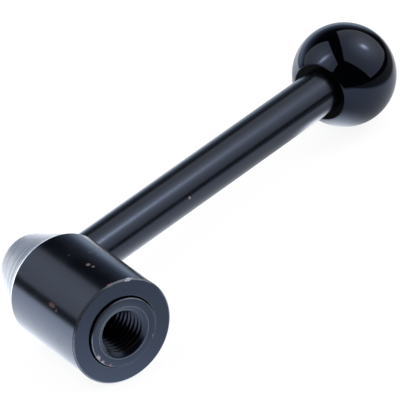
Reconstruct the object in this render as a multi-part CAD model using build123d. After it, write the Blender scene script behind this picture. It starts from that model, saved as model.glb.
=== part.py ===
"""Adjustable clamping lever: a steel hub with a conical top, a straight arm and a ball knob.

A toothed insert is screwed onto the stud of the machine. Its teeth mesh with an internal
serration in the hub. Pulling the hub up against a spring frees the teeth, so that the arm can
be turned to a new position without moving the thread.

The origin is the mouth of the insert's thread. +Z runs up the hub and the arm leans over +X.
All lengths are in millimetres.
"""
import math
import os

from build123d import *

# ---- hub, outside
hub_diameter = 35.0
hub_cylinder_length = 37.0
hub_cone_length = 19.0
hub_top_diameter = 20.0
hub_edge_chamfer = 0.6
cone_step_height = 0.5  # bright collar between the black cylinder and the cone
cone_step_inset = 0.25
hub_top_chamfer = 0.4

# ---- toothed insert
insert_protrusion = 1.1  # how far its collar stands out of the hub's lower face
collar_diameter = 23.0
collar_length = 13.0
collar_chamfer = 0.35
collar_shoulder = 0.6  # width of the step from the collar down to the tooth tips
boss_step = 0.4  # from the tooth roots down to the boss
boss_length = 14.0  # plain part above the teeth
boss_chamfer = 0.5
thread_minor_diameter = 13.835  # M16 x 2
thread_depth = 17.0
countersink_diameter = 17.4
countersink_angle = 120.0
drill_point_angle = 118.0

# ---- serration, shared by the insert and the hub
tooth_count = 24
tooth_depth = 1.2
tooth_tip_share = 0.26  # of the pitch at the tips
tooth_root_share = 0.77  # of the pitch at the roots
tooth_length = 5.0
tooth_clearance = 0.08
tooth_runout_length = 1.8  # groove above the hub's teeth, where the broach ends
tooth_runout_clearance = 0.2

# ---- fits
running_clearance = 0.06  # collar in the hub's bore, radial
seat_gap = 0.02  # hub's shoulder above the collar
boss_clearance = 0.3
boss_headroom = 0.8  # hub's web above the end of the boss
bore_mouth_chamfer = 0.45

# ---- retaining screw, M6 socket head
screw_diameter = 6.0
screw_length = 25.0
screw_head_diameter = 10.0
screw_head_height = 6.0
screw_socket_width = 5.0
screw_socket_depth = 3.0
screw_chamfer = 0.6
screw_engagement = 7.5
screw_hole_margin = 0.3  # tapped hole beyond the screw's end
thread_clearance = 0.05  # between a screw and its tapped hole, both drawn plain, radial

# ---- spring and the web that it presses on
web_thickness = 2.8
web_hole_clearance = 0.3
spring_pocket_diameter = 11.0
spring_wire = 1.0
spring_mean_diameter = 8.2
spring_active_coils = 3.5
spring_end_coils = 0.75  # closed coils at each end
spring_end_pitch = 1.04
spring_wire_sides = 8  # the round wire is drawn with flats, which keeps its faces few
spring_seat_gap = 0.02

# ---- arm and ball knob
arm_diameter = 15.0
arm_reach = 160.0  # along the arm, from the hub's axis to the centre of the ball
arm_socket_depth = 4.8  # along the arm, from the middle of the cone's flank
arm_root_chamfer = 0.5
arm_socket_clearance = 0.01
ball_diameter = 35.0
ball_flat_diameter = 20.0
stud_diameter = 10.0
stud_length = 16.0
stud_chamfer = 1.0
knob_hole_depth = 18.0
knob_hole_chamfer = 0.5

# ---- worked out from the sizes above
hub_radius = hub_diameter / 2
hub_top_radius = hub_top_diameter / 2
collar_radius = collar_diameter / 2
tooth_tip_radius = collar_radius - collar_shoulder
tooth_root_radius = tooth_tip_radius - tooth_depth
boss_radius = tooth_root_radius - boss_step
hub_face_z = insert_protrusion
cone_base_z = hub_face_z + hub_cylinder_length
hub_top_z = cone_base_z + hub_cone_length
teeth_top_z = collar_length + tooth_length
insert_top_z = teeth_top_z + boss_length

web_bottom_z = insert_top_z + boss_headroom
spring_seat_z = web_bottom_z + web_thickness
screw_end_z = insert_top_z - screw_engagement
screw_head_z = screw_end_z + screw_length

flank_angle = math.degrees(math.atan((hub_radius - hub_top_radius) / hub_cone_length))
flank_middle_radius = (hub_radius + hub_top_radius) / 2
flank_middle_z = cone_base_z + hub_cone_length / 2
arm_axis_z = flank_middle_z - flank_middle_radius * math.tan(math.radians(flank_angle))
flank_distance = flank_middle_radius / math.cos(math.radians(flank_angle))
socket_floor = flank_distance - arm_socket_depth
ball_radius = ball_diameter / 2
ball_flat_offset = math.sqrt(ball_radius**2 - (ball_flat_diameter / 2) ** 2)
arm_shoulder = arm_reach - ball_flat_offset

# The arm stands square to the cone's flank: this plane's Z is the arm's axis.
arm_plane = Plane(
    origin=(0, 0, arm_axis_z),
    x_dir=(0, 1, 0),
    z_dir=(math.cos(math.radians(flank_angle)), 0, math.sin(math.radians(flank_angle))),
)


def turned(points):
    """A solid of revolution about Z from its half section, as (radius, height) points."""
    outline = Polyline(*[(radius, 0, height) for radius, height in points], close=True)
    return revolve(make_face(outline), axis=Axis.Z)


def drill_point_height(radius):
    return radius / math.tan(math.radians(drill_point_angle / 2))


def serration(grow=0.0):
    """The toothed outline, grown on every side for the hub's matching void."""
    pitch_angle = 2 * math.pi / tooth_count
    root_half = (tooth_root_radius, tooth_root_share * pitch_angle / 2 + grow / tooth_root_radius)
    tip_half = (tooth_tip_radius, tooth_tip_share * pitch_angle / 2 + grow / tooth_tip_radius)
    corners = []
    for tooth in range(tooth_count):
        middle = pitch_angle * tooth
        for (radius, half_angle), side in (
            (root_half, -1),
            (tip_half, -1),
            (tip_half, 1),
            (root_half, 1),
        ):
            angle = middle + side * half_angle
            corners.append(((radius + grow) * math.cos(angle), (radius + grow) * math.sin(angle)))
    return make_face(Polyline(*corners, close=True))


def make_toothed_insert():
    bore_radius = thread_minor_diameter / 2
    sink_radius = countersink_diameter / 2
    sink_depth = (sink_radius - bore_radius) / math.tan(math.radians(countersink_angle / 2))
    tapped_radius = screw_diameter / 2 + thread_clearance
    tapped_floor_z = screw_end_z - screw_hole_margin
    core = turned(
        [
            (sink_radius, 0),
            (collar_radius - collar_chamfer, 0),
            (collar_radius, collar_chamfer),
            (collar_radius, collar_length),
            (boss_radius, collar_length),
            (boss_radius, insert_top_z - boss_chamfer),
            (boss_radius - boss_chamfer, insert_top_z),
            (tapped_radius, insert_top_z),
            (tapped_radius, tapped_floor_z),
            (0, tapped_floor_z - drill_point_height(tapped_radius)),
            (0, thread_depth + drill_point_height(bore_radius)),
            (bore_radius, thread_depth),
            (bore_radius, sink_depth),
        ]
    )
    teeth = Pos(0, 0, collar_length) * extrude(serration(), amount=tooth_length)
    teeth -= Pos(0, 0, collar_length + tooth_length / 2) * Cylinder(boss_radius, tooth_length)
    return core + teeth


def make_hub():
    bore_radius = collar_radius + running_clearance
    seat_z = collar_length + seat_gap
    tooth_radius = tooth_root_radius + tooth_clearance
    runout_radius = tooth_tip_radius + tooth_runout_clearance
    runout_z = seat_z + tooth_length
    boss_pocket_radius = boss_radius + boss_clearance
    web_hole_radius = screw_diameter / 2 + web_hole_clearance
    pocket_radius = spring_pocket_diameter / 2
    cone_slope = (hub_radius - hub_top_radius) / hub_cone_length
    cone_start_z = cone_base_z + cone_step_height
    body = turned(
        [
            (bore_radius + bore_mouth_chamfer, hub_face_z),
            (hub_radius - hub_edge_chamfer, hub_face_z),
            (hub_radius, hub_face_z + hub_edge_chamfer),
            (hub_radius, cone_base_z),
            (hub_radius - cone_step_inset, cone_base_z),
            (hub_radius - cone_step_inset, cone_start_z),
            (hub_radius - cone_slope * cone_step_height - cone_step_inset, cone_start_z),
            (hub_top_radius + cone_slope * hub_top_chamfer, hub_top_z - hub_top_chamfer),
            (hub_top_radius - hub_top_chamfer, hub_top_z),
            (pocket_radius + hub_top_chamfer, hub_top_z),
            (pocket_radius, hub_top_z - hub_top_chamfer),
            (pocket_radius, spring_seat_z),
            (web_hole_radius, spring_seat_z),
            (web_hole_radius, web_bottom_z),
            (boss_pocket_radius, web_bottom_z),
            (boss_pocket_radius, runout_z + tooth_runout_length),
            (runout_radius, runout_z + tooth_runout_length),
            (runout_radius, runout_z),
            (tooth_radius, runout_z),
            (tooth_radius, seat_z),
            (bore_radius, seat_z),
            (bore_radius, hub_face_z + bore_mouth_chamfer),
        ]
    )
    tooth_void = Pos(0, 0, seat_z) * extrude(serration(tooth_clearance), amount=tooth_length)
    socket_radius = arm_diameter / 2 + arm_socket_clearance
    socket = Cylinder(socket_radius, arm_diameter, align=(Align.CENTER, Align.CENTER, Align.MIN))
    return body - tooth_void - arm_plane * Pos(0, 0, socket_floor) * socket


def make_arm():
    arm_radius = arm_diameter / 2
    stud_radius = stud_diameter / 2
    stud_end = arm_shoulder + stud_length
    root = socket_floor + arm_socket_clearance
    bar = turned(
        [
            (0, root),
            (arm_radius - arm_root_chamfer, root),
            (arm_radius, root + arm_root_chamfer),
            (arm_radius, arm_shoulder),
            (stud_radius, arm_shoulder),
            (stud_radius, stud_end - stud_chamfer),
            (stud_radius - stud_chamfer, stud_end),
            (0, stud_end),
        ]
    )
    return arm_plane * bar


def make_ball_knob():
    hole_radius = stud_diameter / 2 + thread_clearance
    flat_radius = ball_flat_diameter / 2
    flat_start = (flat_radius, 0, -ball_flat_offset)
    far_end = (0, 0, ball_radius)
    widest = (ball_radius, 0, 0)
    outline = Line((hole_radius + knob_hole_chamfer, 0, -ball_flat_offset), flat_start)
    outline += ThreePointArc(flat_start, widest, far_end)
    outline += Polyline(
        far_end,
        (0, 0, knob_hole_depth - ball_flat_offset),
        (hole_radius, 0, knob_hole_depth - ball_flat_offset),
        (hole_radius, 0, knob_hole_chamfer - ball_flat_offset),
        (hole_radius + knob_hole_chamfer, 0, -ball_flat_offset),
    )
    ball = revolve(make_face(outline), axis=Axis.Z)
    return arm_plane * Pos(0, 0, arm_reach) * ball


def make_retaining_screw():
    shank_radius = screw_diameter / 2
    head_radius = screw_head_diameter / 2
    head_top_z = screw_head_z + screw_head_height
    screw = turned(
        [
            (0, screw_end_z),
            (shank_radius - screw_chamfer, screw_end_z),
            (shank_radius, screw_end_z + screw_chamfer),
            (shank_radius, screw_head_z),
            (head_radius, screw_head_z),
            (head_radius, head_top_z - screw_chamfer),
            (head_radius - screw_chamfer, head_top_z),
            (0, head_top_z),
        ]
    )
    hexagon = RegularPolygon(screw_socket_width / 2, 6, major_radius=False)
    socket_z = head_top_z - screw_socket_depth
    return screw - Pos(0, 0, socket_z) * extrude(hexagon, amount=screw_socket_depth)


def make_return_spring():
    """Compression spring with closed ends, from the hub's web to the screw's head."""
    bottom = spring_seat_z + spring_seat_gap
    top = screw_head_z - spring_seat_gap
    end_rise = spring_end_pitch * spring_end_coils
    active_rise = top - bottom - spring_wire - 2 * end_rise
    spans = (
        (spring_end_pitch, end_rise),
        (active_rise / spring_active_coils, active_rise),
        (spring_end_pitch, end_rise),
    )
    height = bottom + spring_wire / 2
    turn = 0.0
    edges = []
    for pitch, rise in spans:
        helix = Helix(pitch, rise, spring_mean_diameter / 2)
        edges += (Pos(0, 0, height) * Rot(0, 0, turn) * helix).edges()
        height += rise
        turn += 360 * rise / pitch
    path = Wire(edges)
    flat_turn = 180 / spring_wire_sides
    section = RegularPolygon(spring_wire / 2, spring_wire_sides, False, flat_turn)
    return sweep((path ^ 0) * section, path=path, is_frenet=True)


os.makedirs("parts", exist_ok=True)
for name, piece in (
    ("toothed_insert", make_toothed_insert()),
    ("lever_hub", make_hub()),
    ("lever_arm", make_arm()),
    ("ball_knob", make_ball_knob()),
    ("retaining_screw", make_retaining_screw()),
    ("return_spring", make_return_spring()),
):
    export_step(piece, f"parts/{name}.step")
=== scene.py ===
"""Adjustable clamping lever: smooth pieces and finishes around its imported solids.

The lever lies on its side on a pale table, between two softboxes in a dark studio.
Sizes are in millimetres here and become metres as each piece is made.
"""

import math

import bmesh
import bpy
from mathutils import Matrix, Vector

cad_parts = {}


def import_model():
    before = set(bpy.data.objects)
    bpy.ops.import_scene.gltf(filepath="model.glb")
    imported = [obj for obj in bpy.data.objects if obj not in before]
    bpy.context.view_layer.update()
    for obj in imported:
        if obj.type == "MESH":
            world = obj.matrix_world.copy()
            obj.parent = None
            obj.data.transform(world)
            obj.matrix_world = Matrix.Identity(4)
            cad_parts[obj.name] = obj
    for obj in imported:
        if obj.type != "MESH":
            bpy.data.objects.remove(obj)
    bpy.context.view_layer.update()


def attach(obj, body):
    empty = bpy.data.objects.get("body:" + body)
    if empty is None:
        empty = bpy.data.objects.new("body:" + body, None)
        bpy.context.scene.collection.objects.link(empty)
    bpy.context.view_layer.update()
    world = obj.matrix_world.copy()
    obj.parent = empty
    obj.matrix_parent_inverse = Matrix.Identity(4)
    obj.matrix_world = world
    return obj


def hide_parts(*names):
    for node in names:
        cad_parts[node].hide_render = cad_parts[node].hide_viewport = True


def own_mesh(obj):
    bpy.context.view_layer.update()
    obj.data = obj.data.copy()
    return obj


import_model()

MM = 0.001
EDGE_ANGLE = math.radians(32)

FLANK = math.atan(7.5 / 19)
ARM_DIRECTION = Vector((math.cos(FLANK), 0, math.sin(FLANK)))
ARM_START = Vector((0, 0, 47.6 - 13.75 * math.tan(FLANK)))
ARM_FRAME = Matrix.Translation(ARM_START * MM) @ ARM_DIRECTION.to_track_quat("Z", "Y").to_matrix().to_4x4()


# ---- shaping tools -------------------------------------------------------------------------


def deselect():
    bpy.ops.object.select_all(action="DESELECT")


def settle():
    bpy.ops.object.transform_apply(location=True, rotation=True, scale=True)


def ring_sizes(radius):
    """The eight radii of one tooth's pitch: the same, or (tip, root) for a toothed ring."""
    if not isinstance(radius, tuple):
        return [radius] * 8
    tip, root = radius
    return [tip, tip, (tip + root) / 2, root, root, root, (tip + root) / 2, tip]


def turn(name, profile, sides=192):
    """Turns a piece about Z: a circle is extruded and sized along (radius, height) points."""
    deselect()
    radii, height = ring_sizes(profile[0][0]), profile[0][1]
    bpy.ops.mesh.primitive_circle_add(vertices=sides, radius=radii[0] * MM, location=(0, 0, height * MM))
    settle()
    piece = bpy.context.object
    piece.name = piece.data.name = name
    bpy.ops.object.mode_set(mode="EDIT")
    bpy.ops.mesh.select_all(action="SELECT")
    for radius, level in profile[1:]:
        bpy.ops.mesh.extrude_region_move(TRANSFORM_OT_translate={"value": (0, 0, (level - height) * MM)})
        height = level
        if radius == 0:
            bpy.ops.mesh.merge(type="CENTER")
            break
        size_ring(piece, radii, ring_sizes(radius), height)
        radii = ring_sizes(radius)
    bpy.ops.mesh.select_all(action="SELECT")
    bpy.ops.mesh.remove_doubles(threshold=2e-6)
    bpy.ops.mesh.normals_make_consistent(inside=False)
    bpy.ops.object.mode_set(mode="OBJECT")
    return piece


CORNERS_PER_TOOTH = 8
RING_STEP = math.radians(360 / (24 * CORNERS_PER_TOOTH))


def size_ring(piece, old, new, height):
    """Sizes the selected ring about Z, tooth place by tooth place where it is toothed."""
    shares = [b / a for a, b in zip(old, new)]
    middle = (0, 0, height * MM)
    if len({round(share, 9) for share in shares}) == 1:
        bpy.ops.transform.resize(value=(shares[0], shares[0], 1), center_override=middle)
        return
    mesh = bmesh.from_edit_mesh(piece.data)
    mesh.verts.index_update()
    mesh.verts.ensure_lookup_table()
    ring = [v.index for v in mesh.verts if v.select]
    place = {}
    for i in ring:
        corner = mesh.verts[i].co
        place[i] = round(math.atan2(corner.y, corner.x) / RING_STEP) % CORNERS_PER_TOOTH
    for share in sorted(set(shares)):
        bpy.ops.mesh.select_all(action="DESELECT")
        mesh = bmesh.from_edit_mesh(piece.data)
        mesh.verts.ensure_lookup_table()
        for i in ring:
            mesh.verts[i].select = shares[place[i]] == share
        mesh.select_flush_mode()
        bmesh.update_edit_mesh(piece.data)
        bpy.ops.transform.resize(value=(share, share, 1), center_override=middle)
    mesh = bmesh.from_edit_mesh(piece.data)
    mesh.verts.ensure_lookup_table()
    for i in ring:
        mesh.verts[i].select = True
    mesh.select_flush_mode()
    bmesh.update_edit_mesh(piece.data)


def use(piece, kind, **settings):
    """Adds a modifier, sets it and applies it."""
    deselect()
    bpy.context.view_layer.objects.active = piece
    piece.select_set(True)
    modifier = piece.modifiers.new(kind.title(), kind)
    for setting, value in settings.items():
        setattr(modifier, setting, value)
    bpy.ops.object.modifier_apply(modifier=modifier.name)


def soften(piece, width, segments=2, angle=EDGE_ANGLE):
    use(piece, "BEVEL", width=width * MM, segments=segments, limit_method="ANGLE", angle_limit=angle)


def cut(piece, tool):
    use(piece, "BOOLEAN", operation="DIFFERENCE", object=tool, solver="EXACT")
    bpy.data.objects.remove(tool)


def shade(piece):
    deselect()
    bpy.context.view_layer.objects.active = piece
    piece.select_set(True)
    bpy.ops.object.shade_smooth_by_angle(angle=EDGE_ANGLE)
    use(piece, "WEIGHTED_NORMAL", keep_sharp=True, weight=80)


def lay_on_arm(piece):
    """Turns a piece made about Z onto the arm's axis."""
    piece.matrix_world = ARM_FRAME
    deselect()
    bpy.context.view_layer.objects.active = piece
    piece.select_set(True)
    settle()


def dress(piece, body, node, finish):
    shade(piece)
    piece.data.materials.clear()
    piece.data.materials.append(finish)
    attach(piece, body)
    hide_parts(node)


# ---- pieces --------------------------------------------------------------------------------


def make_hub():
    hub = turn(
        "hub",
        [
            (12.01, 1.1), (16.9, 1.1), (17.5, 1.7), (17.5, 20), (17.5, 38.1), (17.25, 38.1),
            (17.25, 38.6), (17.05, 38.6), (13.75, 47.3), (10.16, 56.7), (9.6, 57.1),
            (5.9, 57.1), (5.5, 56.7), (5.5, 35.6), (3.3, 35.6), (3.3, 32.8), (9.6, 32.8),
            (9.6, 19.82), (11.1, 19.82), (11.1, 18.02), ((10.98, 9.78), 18.02),
            ((10.98, 9.78), 13.02), (11.56, 13.02), (11.56, 1.55), (12.01, 1.1),
        ],
    )
    soften(hub, 0.12)
    socket = turn("socket_tool", [(7.51, 9.977), (7.51, 25), (0, 25)])
    deselect()
    bpy.context.view_layer.objects.active = socket
    socket.select_set(True)
    bpy.ops.object.mode_set(mode="EDIT")
    bpy.ops.mesh.select_all(action="SELECT")
    bpy.ops.mesh.fill_holes(sides=0)
    bpy.ops.mesh.normals_make_consistent(inside=False)
    bpy.ops.object.mode_set(mode="OBJECT")
    lay_on_arm(socket)
    cut(hub, socket)
    return hub


def make_arm():
    arm = turn(
        "arm",
        [
            (3, 9.987), (7, 9.987), (7.5, 10.487), (7.5, 60), (7.5, 110), (7.5, 145.64),
            (5, 145.64), (5, 160.64), (4, 161.64), (0, 161.64),
        ],
        96,
    )
    close_end(arm, 9.987)
    soften(arm, 0.15)
    lay_on_arm(arm)
    return arm


def close_end(piece, height):
    """Fills the flat end that lies at one height."""
    deselect()
    bpy.context.view_layer.objects.active = piece
    piece.select_set(True)
    bpy.ops.object.mode_set(mode="EDIT")
    bpy.ops.mesh.select_all(action="DESELECT")
    mesh = bmesh.from_edit_mesh(piece.data)
    for edge in mesh.edges:
        if edge.is_boundary and all(abs(v.co.z - height * MM) < 1e-5 for v in edge.verts):
            edge.select_set(True)
    bmesh.update_edit_mesh(piece.data)
    bpy.ops.mesh.edge_face_add()
    bpy.ops.mesh.select_all(action="SELECT")
    bpy.ops.mesh.normals_make_consistent(inside=False)
    bpy.ops.object.mode_set(mode="OBJECT")


def make_ball():
    flat = 17.5**2 - 10**2
    offset = math.sqrt(flat)
    start = math.atan2(10, -offset)
    profile = [(5.05, 160 - offset + 18), (5.05, 160.5 - offset), (5.55, 160 - offset), (9.75, 160 - offset)]
    steps = 52
    for step in range(steps):
        angle = start * (1 - step / steps)
        profile.append((17.5 * math.sin(angle), 160 + 17.5 * math.cos(angle)))
    profile.append((0, 177.5))
    ball = turn("ball", profile, 144)
    close_end(ball, 160 - offset + 18)
    soften(ball, 0.3, 3, math.radians(25))
    lay_on_arm(ball)
    return ball


def make_thread_tool():
    """The core of an M16 x 2 thread: one pitch of its edge, screwed about Z and cut off flat."""
    deselect()
    bpy.ops.mesh.primitive_plane_add(size=MM, location=(0, 0, 0))
    tool = bpy.context.object
    bpy.ops.object.mode_set(mode="EDIT")
    bpy.ops.mesh.select_all(action="SELECT")
    bpy.ops.mesh.merge(type="CENTER")
    points = [(6.7, -3), (6.7, -2.751), (8, -2), (8, -1.75), (6.7, -1)]
    bpy.ops.transform.translate(value=(points[0][0] * MM, 0, points[0][1] * MM))
    for (r0, z0), (r1, z1) in zip(points, points[1:]):
        step = ((r1 - r0) * MM, 0, (z1 - z0) * MM)
        bpy.ops.mesh.extrude_region_move(TRANSFORM_OT_translate={"value": step})
    bpy.ops.object.mode_set(mode="OBJECT")
    use(tool, "SCREW", axis="Z", angle=2 * math.pi, steps=96, render_steps=96, screw_offset=2 * MM,
        iterations=11, use_merge_vertices=True, merge_threshold=1e-6)
    deselect()
    bpy.context.view_layer.objects.active = tool
    tool.select_set(True)
    bpy.ops.object.mode_set(mode="EDIT")
    for level, away in ((-0.6, -1), (16.2, 1)):
        bpy.ops.mesh.select_all(action="SELECT")
        bpy.ops.mesh.bisect(plane_co=(0, 0, level * MM), plane_no=(0, 0, away), use_fill=True,
                            clear_outer=True)
    bpy.ops.mesh.select_all(action="SELECT")
    bpy.ops.mesh.remove_doubles(threshold=1e-6)
    bpy.ops.mesh.normals_make_consistent(inside=False)
    bpy.ops.object.mode_set(mode="OBJECT")
    return tool


def make_insert():
    insert = turn(
        "insert",
        [
            (8.7, 0), (11.15, 0), (11.5, 0.35), (11.5, 13), ((10.9, 9.7), 13), ((10.9, 9.7), 18),
            (9.3, 18), (9.3, 31.5), (8.8, 32), (3.05, 32), (3.05, 24.2), (0, 22.37),
        ],
    )
    bore = turn("bore_side", [(8.7, 0), (6.9175, 1.029), (6.9175, 17), (0, 21.16)])
    soften(insert, 0.1)
    deselect()
    bore.select_set(True)
    insert.select_set(True)
    bpy.context.view_layer.objects.active = insert
    bpy.ops.object.join()
    bpy.ops.object.mode_set(mode="EDIT")
    bpy.ops.mesh.select_all(action="SELECT")
    bpy.ops.mesh.remove_doubles(threshold=2e-6)
    bpy.ops.mesh.normals_make_consistent(inside=False)
    bpy.ops.object.mode_set(mode="OBJECT")
    cut(insert, make_thread_tool())
    return insert


def make_screw():
    screw = turn(
        "screw",
        [
            (1, 24.5), (2.4, 24.5), (3, 25.1), (3, 49.5), (5, 49.5), (5, 54.9), (4.8, 55.25),
            (4.4, 55.5), (2.95, 55.5), (0, 55.5),
        ],
        96,
    )
    close_end(screw, 24.5)
    soften(screw, 0.1)
    deselect()
    bpy.ops.mesh.primitive_circle_add(vertices=6, radius=2.5 / math.cos(math.pi / 6) * MM, fill_type="NGON",
                                      location=(0, 0, 52.5 * MM))
    settle()
    socket = bpy.context.object
    bpy.ops.object.mode_set(mode="EDIT")
    bpy.ops.mesh.select_all(action="SELECT")
    bpy.ops.mesh.extrude_region_move(TRANSFORM_OT_translate={"value": (0, 0, 4 * MM)})
    bpy.ops.mesh.select_all(action="SELECT")
    bpy.ops.mesh.normals_make_consistent(inside=False)
    bpy.ops.object.mode_set(mode="OBJECT")
    cut(screw, socket)
    return screw


def make_spring():
    """Closed end coils, open coils between them: a helix drawn as a curve with a round section."""
    spans = ((0.75, 0.78), (3.5, 11.27), (0.75, 0.78))
    per_turn, level, turns = 24, 36.13, 0.0
    points = []
    for count, rise in spans:
        steps = round(count * per_turn)
        for step in range(steps):
            angle = 2 * math.pi * (turns + count * step / steps)
            points.append((4.1 * math.cos(angle), 4.1 * math.sin(angle), level + rise * step / steps))
        level, turns = level + rise, turns + count
    points.append((4.1, 0, level))
    line = bpy.data.curves.new("spring", "CURVE")
    line.dimensions = "3D"
    line.bevel_depth, line.bevel_resolution, line.use_fill_caps = 0.49 * MM, 5, True
    run = line.splines.new("NURBS")
    run.points.add(len(points) - 1)
    for place, (x, y, z) in zip(run.points, points):
        place.co = (x * MM, y * MM, z * MM, 1)
    run.order_u, run.use_endpoint_u, run.resolution_u = 4, True, 3
    spring = bpy.data.objects.new("spring", line)
    bpy.context.scene.collection.objects.link(spring)
    deselect()
    bpy.context.view_layer.objects.active = spring
    spring.select_set(True)
    bpy.ops.object.convert(target="MESH")
    return bpy.context.object


# ---- materials -----------------------------------------------------------------------------


class Socket:
    """A shader socket that takes part in sums. Each operation adds its Math node."""

    def __init__(self, finish, out):
        self.finish, self.out = finish, out

    def math(self, operation, *values):
        return self.finish.node("Math", {"operation": operation}, dict(enumerate(values)))

    def __add__(self, other):
        return self.math("ADD", self, other)

    def __sub__(self, other):
        return self.math("SUBTRACT", self, other)

    def __rsub__(self, other):
        return self.math("SUBTRACT", other, self)

    def __mul__(self, other):
        return self.math("MULTIPLY", self, other)

    __radd__, __rmul__ = __add__, __mul__

    def larger(self, other):
        return self.math("MAXIMUM", self, other)

    def smaller(self, other):
        return self.math("MINIMUM", self, other)

    def fade(self):
        return self.math("EXPONENT", self * -1.0)

    def absolute(self):
        return self.math("ABSOLUTE", self)

    def sine(self):
        return self.math("SINE", self)

    def step(self, low, high):
        """0 below low, 1 above high, smooth between; turned round where low is the larger."""
        return self.finish.node("MapRange", {"interpolation_type": "SMOOTHSTEP"}, {0: self, 1: low, 2: high})


class Finish:
    """One material, built from nodes."""

    def __init__(self, name):
        self.material = bpy.data.materials.new(name)
        self.material.use_nodes = True
        self.tree = self.material.node_tree
        self.tree.nodes.clear()

    def node(self, kind, settings=None, inputs=None, out=0):
        made = self.tree.nodes.new("ShaderNode" + kind)
        for setting, value in (settings or {}).items():
            setattr(made, setting, value)
        for key, value in (inputs or {}).items():
            if isinstance(value, Socket):
                self.tree.links.new(value.out, made.inputs[key])
            else:
                made.inputs[key].default_value = value
        return Socket(self, made.outputs[out]) if len(made.outputs) else None

    def place(self):
        """Where a point lies on the object, in millimetres."""
        spot = self.node("TexCoord", out="Object")
        return self.node("VectorMath", {"operation": "SCALE"}, {0: spot, "Scale": 1000})

    def parts(self, vector):
        made = self.tree.nodes.new("ShaderNodeSeparateXYZ")
        self.tree.links.new(vector.out, made.inputs[0])
        return [Socket(self, out) for out in made.outputs]

    def noise(self, spot, scale, detail=3, rough=0.5):
        values = {"Vector": spot, "Scale": scale, "Detail": detail, "Roughness": rough}
        return self.node("TexNoise", {}, values)

    def dot(self, first, second):
        return self.node("VectorMath", {"operation": "DOT_PRODUCT"}, {0: first, 1: second}, out="Value")

    def length(self, vector):
        return self.node("VectorMath", {"operation": "LENGTH"}, {0: vector}, out="Value")

    def stretched(self, spot, sizes):
        return self.node("VectorMath", {"operation": "MULTIPLY"}, {0: spot, 1: sizes})

    def mix(self, share, first, second):
        return self.node("Mix", {"data_type": "RGBA"}, {0: share, 6: first, 7: second}, out=2)

    def patch(self, spot, centre, size, ragged, squeeze=(1, 1, 1)):
        """1 inside a ragged patch round one point, drawn out where squeeze is below 1."""
        away = self.node("VectorMath", {"operation": "SUBTRACT"}, {0: spot, 1: centre})
        reach = self.length(self.stretched(away, squeeze))
        return (reach + ragged * size * 2.6).step(size * 1.5, size * 0.95)

    def surface(self, inputs, normal=None):
        if normal is not None:
            inputs = {**inputs, "Normal": normal}
        shader = self.node("BsdfPrincipled", {}, inputs)
        self.node("OutputMaterial", {}, {"Surface": shader})
        return self.material


BRIGHT = (0.85, 0.85, 0.87, 1)
BARE = (0.42, 0.35, 0.33, 1)
WORN = (0.12, 0.11, 0.12, 1)
RUST = (0.3, 0.15, 0.13, 1)
PIT = (0.003, 0.003, 0.004, 1)

HUB_CHIPS = (
    ((-15.39, -8.33, 16.0), 0.5, RUST, (1, 1, 0.45)), ((-15.75, -7.63, 13.2), 0.34, RUST),
    ((-17.47, 1, 9.99), 0.3, PIT), ((-2.78, -17.28, 25.37), 0.26, WORN),
    ((-1.49, -17.44, 16.17), 0.5, BARE), ((-0.99, -17.47, 14.05), 0.42, BARE),
    ((3.41, -17.16, 23.06), 0.36, WORN, (0.6, 1, 1)), ((4.6, -17.0, 20.4), 0.3, WORN, (0.6, 1, 1)),
    # The pale streak along the top of the face's rim (BRIGHT) is partly a worn edge and partly a painted
    # highlight.
    ((3.9, -16.85, 1.35), 0.4, BRIGHT, (0.3, 1, 1)), ((0.8, -17.1, 1.4), 0.26, WORN, (0.12, 1, 1)),
    ((-2.9, -17.2, 1.4), 0.42, RUST, (0.6, 1, 1)),
    ((-16.6, -4.6, 1.4), 0.36, WORN), ((-15.6, -7.4, 1.4), 0.24, PIT), ((-16.9, -2.6, 1.5), 0.26, WORN),
)
INSERT_CHIPS = (
    ((-9.7, 5.3, 0.15), 0.5, BARE, (1, 0.6, 1)), ((-8.3, 7.3, 0.15), 0.4, BARE),
    ((-5.9, 9.4, 0.15), 0.42, RUST), ((10.3, 4.6, 0.2), 0.5, RUST),
)
ARM_CHIPS = (((60.86, -1.61, 58.32), 0.4, BARE), ((49.84, 1.49, 53.94), 0.42, PIT))


def turned_steel():
    """Bare turned steel of the cone: dull grey with fine tool marks, and two bright rings near its foot that
    are painted highlights.
    """
    finish = Finish("turned_steel")
    spot = finish.place()
    z = finish.parts(spot)[2]
    lines = finish.noise(finish.stretched(spot, (0.004, 0.004, 1)), 0.9, 3, 0.75)
    cloud = finish.noise(spot, 0.25, 3)
    colour = finish.mix(lines.step(0.42, 0.6), (0.035, 0.038, 0.045, 1), (0.24, 0.25, 0.28, 1))
    # Painted highlights: two thin bright rings just above the step at the cone's foot, standing in for light
    # caught there.
    rings = (z.step(38.75, 38.62) + z.step(38.95, 39.05) * z.step(39.75, 39.6)).smaller(1.0)
    colour = finish.mix(rings, colour, (0.8, 0.82, 0.86, 1))
    bump = finish.node("Bump", {}, {"Strength": 0.5, "Distance": 0.001, "Height": lines * 0.2})
    return finish.surface(
        {"Base Color": colour, "Metallic": 1.0, "Roughness": lines * 0.1 + cloud * 0.08 + 0.14}, bump
    )


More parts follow.
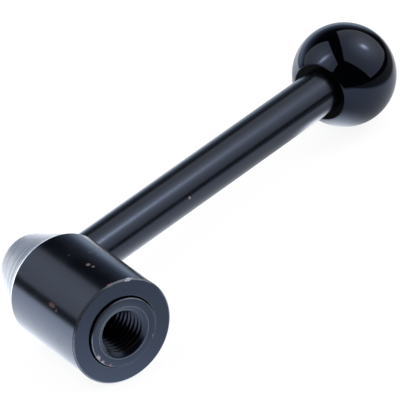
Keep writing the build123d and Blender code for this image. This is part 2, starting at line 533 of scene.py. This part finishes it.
def blackened(name, chips, edges=(), thread=False, index=1.77):
    """Blackened steel: a thin blue-black skin over steel, mottled, chipped through in places, with thin
    lighter rings round the face's edges that are partly wear and partly painted highlights.
    """
    finish = Finish(name)
    spot = finish.place()
    z = finish.parts(spot)[2]
    cloud = finish.noise(spot, 0.16, 4)
    grain = finish.noise(spot, 3.2, 3, 0.6)
    ragged = finish.noise(spot, 1.7, 2) - 0.5
    colour = finish.mix(cloud.step(0.35, 0.7), (0.0022, 0.0026, 0.0042, 1), (0.0045, 0.0052, 0.008, 1))
    bare_and_highlight = None
    for centre, size, tone, *squeeze in chips:
        chip = finish.patch(spot, centre, size, ragged, *squeeze)
        colour = finish.mix(chip, colour, tone)
        bare_and_highlight = bare_and_highlight.larger(chip) if bare_and_highlight else chip
    marks = finish.noise(finish.stretched(spot, (0.05, 0.05, 1)), 1.1, 3, 0.6)
    radius = finish.length(finish.stretched(spot, (1, 1, 0)))
    # Wear and painted highlight: thin rings at the face's edges, lightened partly as worn edges and partly as
    # edges catching light.
    for worn_and_lit_radius, width in edges:
        wear_and_highlight = (radius - worn_and_lit_radius).absolute().step(width, width * 0.3) * z.step(2.2, 1.8)
        wear_and_highlight = wear_and_highlight * (ragged + 0.75)
        colour = finish.mix(wear_and_highlight, colour, (0.24, 0.26, 0.3, 1))
        bare_and_highlight = bare_and_highlight.larger(wear_and_highlight)
    rough = cloud * 0.08 + grain * 0.07 + marks * 0.05 + 0.1
    metal = bare_and_highlight * 0.55
    height = grain * 0.012 + cloud * 0.05 + marks * 0.012 - bare_and_highlight * 0.05
    if thread:
        inside = radius.step(7.3, 7.0) * z.step(21, 17)
        colour = finish.mix(inside * 0.6, colour, (0.06, 0.042, 0.033, 1))
        metal = metal.larger(inside * 0.4)
    bump = finish.node("Bump", {}, {"Strength": 0.35, "Distance": 0.001, "Height": height})
    # Specular Tint: the blue of the reflections is partly the skin's own tint and partly the bluish studio
    # light painted in.
    return finish.surface(
        {"Base Color": colour, "Roughness": rough, "Metallic": metal, "IOR": index,
         "Specular Tint": (0.52, 0.66, 1, 1)},
        bump,
    )


def moulded_black():
    """Polished black moulding of the ball, faintly uneven."""
    finish = Finish("moulded_black")
    spot = finish.place()
    swell = finish.noise(spot, 0.09, 2)
    scuff = finish.noise(finish.stretched(spot, (1, 1, 3)), 1.3, 4, 0.6)
    colour = finish.mix(swell, (0.0003, 0.0003, 0.0006, 1), (0.0006, 0.0006, 0.001, 1))
    rough = scuff.step(0.62, 0.8) * 0.05 + 0.035
    bump = finish.node("Bump", {}, {"Strength": 0.08, "Distance": 0.001, "Height": swell * 0.3})
    # Specular Tint: the bluish studio light, painted into the ball's reflections as a blue tint.
    return finish.surface(
        {"Base Color": colour, "Roughness": rough, "IOR": 1.56, "Specular Tint": (0.55, 0.66, 1, 1)}, bump
    )


def spring_wire():
    """Bright drawn wire."""
    finish = Finish("spring_wire")
    spot = finish.place()
    grain = finish.noise(spot, 2.5, 3)
    return finish.surface(
        {"Base Color": finish.mix(grain, (0.4, 0.41, 0.43, 1), (0.6, 0.61, 0.63, 1)), "Metallic": 1.0,
         "Roughness": grain * 0.15 + 0.2}
    )


def screw_black():
    """Blackened screw, its shank cut with a fine thread."""
    finish = Finish("screw_black")
    spot = finish.place()
    z = finish.parts(spot)[2]
    grain = finish.noise(spot, 2.0, 3)
    ridge = (z * 2 * math.pi).sine() * z.step(49.3, 48.9)
    bump = finish.node("Bump", {}, {"Strength": 0.8, "Distance": 0.001, "Height": ridge * 0.3 + grain * 0.02})
    return finish.surface(
        {"Base Color": finish.mix(grain, (0.008, 0.0085, 0.01, 1), (0.02, 0.021, 0.024, 1)), "Metallic": 0.4,
         "Roughness": grain * 0.12 + 0.27, "IOR": 1.7},
        bump,
    )


CONE_FOOT = 38.09  # just below the cone's first face
POCKET_REACH = 8  # more than the radius of the spring's pocket
FLAT_REACH = 145.66  # along the arm, just past the ball's flat


def bare_cone(hub):
    """Gives the faces above the blackened cylinder, outside the spring's pocket, the turned finish."""
    hub.data.materials.append(turned_steel())
    for face in hub.data.polygons:
        if face.center.z > CONE_FOOT * MM and face.center.xy.length > POCKET_REACH * MM:
            face.material_index = 1


def darken_mouth_painted_shade(ball):
    """Gives the flat round the ball's hole a darker, less reflective finish: painted shade, standing in for
    the shaded table that the flat reflects between the arm and the ball.
    """
    finish = Finish("mouth_painted_shade")
    grain = finish.noise(finish.place(), 1.5, 3)
    colour = finish.mix(grain, (0.0008, 0.0008, 0.001, 1), (0.002, 0.002, 0.0026, 1))
    ball.data.materials.append(
        finish.surface({"Base Color": colour, "Roughness": grain * 0.2 + 0.2, "IOR": 1.12})
    )
    for face in ball.data.polygons:
        along = (face.center - ARM_START * MM).dot(ARM_DIRECTION)
        if along < FLAT_REACH * MM:
            face.material_index = 1


# ---- studio --------------------------------------------------------------------------------

TOWARDS = Vector((-0.5063, 0, -0.8624))
RIGHT = Vector((0.8624, 0, -0.5063))
UP = Vector((0, -1, 0))
MIDDLE = Vector((75, 0, 60))
TABLE_SIDE = 17.5  # radius of the hub and of the ball, which both rest on the table
WALL_CENTRE = 382


def spot_at(towards, right, up, reach=900):
    """A point round the lever, from shares of the studio's three directions."""
    return (MIDDLE + (TOWARDS * towards + RIGHT * right + UP * up) * reach) * MM


def glowing(name, corners, base, core, core_size, core_turn):
    """A softbox: a flat panel, brightest at its lamp. The camera doesn't see it."""
    mesh = bpy.data.meshes.new(name)
    mesh.from_pydata([spot_at(*corner) for corner in corners], [], [tuple(range(len(corners)))])
    panel = bpy.data.objects.new(name, mesh)
    bpy.context.scene.collection.objects.link(panel)
    finish = Finish(name)
    spot = finish.node("TexCoord", out="Object")
    away = finish.node("VectorMath", {"operation": "SUBTRACT"}, {0: spot, 1: spot_at(*core)})
    along = finish.dot(away, core_turn)
    length = finish.length(away)
    across = (length * length - along * along).larger(0.0)
    glow = (along * along * (1 / core_size[0] ** 2) + across * (1 / core_size[1] ** 2)).fade()
    halo = (length * length * 14.0).fade()
    strength = glow * base[2] + halo * base[1] + base[0]
    light = finish.node("Emission", {}, {"Color": (1, 1, 1, 1), "Strength": strength})
    finish.node("OutputMaterial", {}, {"Surface": light})
    mesh.materials.append(finish.material)
    panel.visible_camera = False


def backdrop():
    """Glowing wall behind the table, brightest near its foot. Only reflections and light see it."""
    deselect()
    bpy.ops.mesh.primitive_cylinder_add(vertices=96, radius=1.1, depth=0.8, end_fill_type="NOTHING",
                                        location=(0, 0, 0))
    wall = bpy.context.object
    wall.name = "backdrop"
    upright = UP.to_track_quat("Z", "Y").to_matrix().to_4x4()
    wall.matrix_world = Matrix.Translation((MIDDLE + UP * WALL_CENTRE) * MM) @ upright
    settle()
    finish = Finish("backdrop_white")
    spot = finish.node("TexCoord", out="Object")
    up = finish.dot(spot, UP)
    back = finish.dot(spot, TOWARDS) * -1.0
    side = finish.dot(spot, RIGHT)
    low = (up.step(0.75, 0.0) * 0.35) + up.step(0.35, 0.0) * 0.65
    glow = low * back.step(0.45, 0.85) * side.step(0.6, 0.2)
    light = finish.node("Emission", {}, {"Color": (0.72, 0.9, 1.18, 1), "Strength": glow + 0.02})
    finish.node("OutputMaterial", {}, {"Surface": light})
    wall.data.materials.clear()
    wall.data.materials.append(finish.material)
    wall.visible_camera = False


def table():
    """The pale table that the hub and the ball lie on. It is seen through from underneath.

    It stands beside the hub, so an arm that swings by 90 degrees passes through it.
    """
    deselect()
    bpy.ops.mesh.primitive_plane_add(size=6, location=(0, TABLE_SIDE * MM, 0), rotation=(math.pi / 2, 0, 0))
    settle()
    floor = bpy.context.object
    floor.name = "table"
    finish = Finish("table_white")
    spot = finish.node("TexCoord", out="Object")
    front = finish.dot(spot, TOWARDS)
    side = finish.dot(spot, RIGHT)
    path = finish.tree.nodes.new("ShaderNodeLightPath")
    camera = Socket(finish, path.outputs["Is Camera Ray"])
    glossy = Socket(finish, path.outputs["Is Glossy Ray"])
    through = Socket(finish, path.outputs["Is Transmission Ray"])
    on_table = front.step(0.26, 0.22) * side.step(0.16, 0.13) * side.step(-0.36, -0.32)
    # Painted light and shade, seen only in reflections: the table is brighter to the left and a little behind
    # the lever, dimmer in front.
    bright = side.step(0.05, -0.05) * 1.15 + 0.85
    bright = bright * (front.step(0.12, -0.02) * 0.68 + 0.32) * (front.step(-0.6, -0.26) * 0.85 + 0.15)
    # Painted shadow, seen only in reflections: ambient occlusion darkens the table near the lever on its
    # right side.
    near = finish.node("AmbientOcclusion", {"samples": 4}, {"Distance": 0.07}, out="AO")
    shaded = side.step(0.0, 0.09) * 0.85
    bright = bright * (1 - shaded + near * near * shaded)
    # Painted pool of light, seen only in reflections: a small bright spot on the table beside the ball.
    beside = (front + 0.15) * (front + 0.15) + (side - 0.073) * (side - 0.073)
    bright = bright + (beside * 14000).fade() * 2.4
    shown = camera * 0.9 + glossy * bright * on_table + through * 0.9
    tint = finish.mix(glossy, (1, 1, 1, 1), (0.93, 0.98, 1.06, 1))
    glow = finish.node("Emission", {}, {"Color": tint, "Strength": shown})
    matt = finish.node("BsdfDiffuse", {}, {"Color": (0.22, 0.22, 0.22, 1)})
    both = finish.node("AddShader", {}, {0: matt, 1: glow})
    clear = finish.node("BsdfTransparent")
    behind = finish.node("NewGeometry", out="Backfacing")
    mixed = finish.node("MixShader", {}, {0: behind, 1: both, 2: clear})
    finish.node("OutputMaterial", {}, {"Surface": mixed})
    floor.data.materials.clear()
    floor.data.materials.append(finish.material)


def world():
    """Plain white for the camera, and a dark room for reflections and light."""
    sky = bpy.data.worlds.new("studio")
    bpy.context.scene.world = sky
    sky.use_nodes = True
    tree = sky.node_tree
    tree.nodes.clear()
    path = tree.nodes.new("ShaderNodeLightPath")
    mix = tree.nodes.new("ShaderNodeMix")
    mix.data_type = "RGBA"
    mix.inputs[6].default_value = (0.012, 0.013, 0.018, 1)
    mix.inputs[7].default_value = (1, 1, 1, 1)
    tree.links.new(path.outputs["Is Camera Ray"], mix.inputs[0])
    light = tree.nodes.new("ShaderNodeBackground")
    tree.links.new(mix.outputs[2], light.inputs["Color"])
    out = tree.nodes.new("ShaderNodeOutputWorld")
    tree.links.new(light.outputs[0], out.inputs["Surface"])


def camera():
    """A long lens, which sees the lever lying on its side."""
    lens = bpy.data.cameras.new("camera")
    lens.lens, lens.sensor_width = 469.6, 36
    lens.clip_start, lens.clip_end = 0.05, 50
    eye = bpy.data.objects.new("camera", lens)
    bpy.context.scene.collection.objects.link(eye)
    right, up, back = (
        Vector((0.84138, 0.06803, -0.53614)),
        Vector((0.30461, -0.87915, 0.36647)),
        Vector((-0.44642, -0.47166, -0.76042)),
    )
    turn_to = Matrix((right, up, back)).transposed().to_4x4()
    station = Vector((-679.12, -785.23, -1208.56))
    eye.matrix_world = Matrix.Translation(station * MM) @ turn_to
    bpy.context.scene.camera = eye


# ---- the scene -----------------------------------------------------------------------------

dress(make_hub(), "lever", "lever_hub",
      blackened("hub_steel", HUB_CHIPS, edges=((12.0, 0.22), (17.2, 0.3))))
bare_cone(bpy.data.objects["hub"])
dress(make_arm(), "lever", "lever_arm", blackened("arm_steel", ARM_CHIPS, index=1.6))
dress(make_ball(), "lever", "ball_knob", moulded_black())
darken_mouth_painted_shade(bpy.data.objects["ball"])
dress(make_insert(), "insert", "toothed_insert",
      blackened("insert_steel", INSERT_CHIPS, edges=((8.75, 0.22), (11.3, 0.2)), thread=True))
dress(make_screw(), "insert", "retaining_screw", screw_black())
dress(make_spring(), "spring", "return_spring", spring_wire())
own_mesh(bpy.data.objects["spring"])

camera()
world()
table()
backdrop()
glowing("softbox_right", [(0.515, 0.063, 0.937), (0.504, 0.909, 0.091), (-0.713, 0.881, 0.119),
                          (-1.295, -0.09, 1.09)],
        (0.7, 1.2, 7.0), (-0.191, 0.473, 0.528), (0.32, 0.05), RIGHT)
glowing("softbox_left", [(0.572, -0.197, 0.803), (0.738, -0.409, 0.591), (0.6, -0.87, 0.13),
                         (-0.38, -0.853, 0.148), (-0.602, -0.743, 0.256), (-0.539, -0.503, 0.497),
                         (-0.433, -0.271, 0.729)],
        (0.75, 0.8, 5.5), (0.078, -0.444, 0.556), (0.14, 0.04), (RIGHT + UP).normalized())

bpy.context.scene.view_settings.view_transform = "Standard"
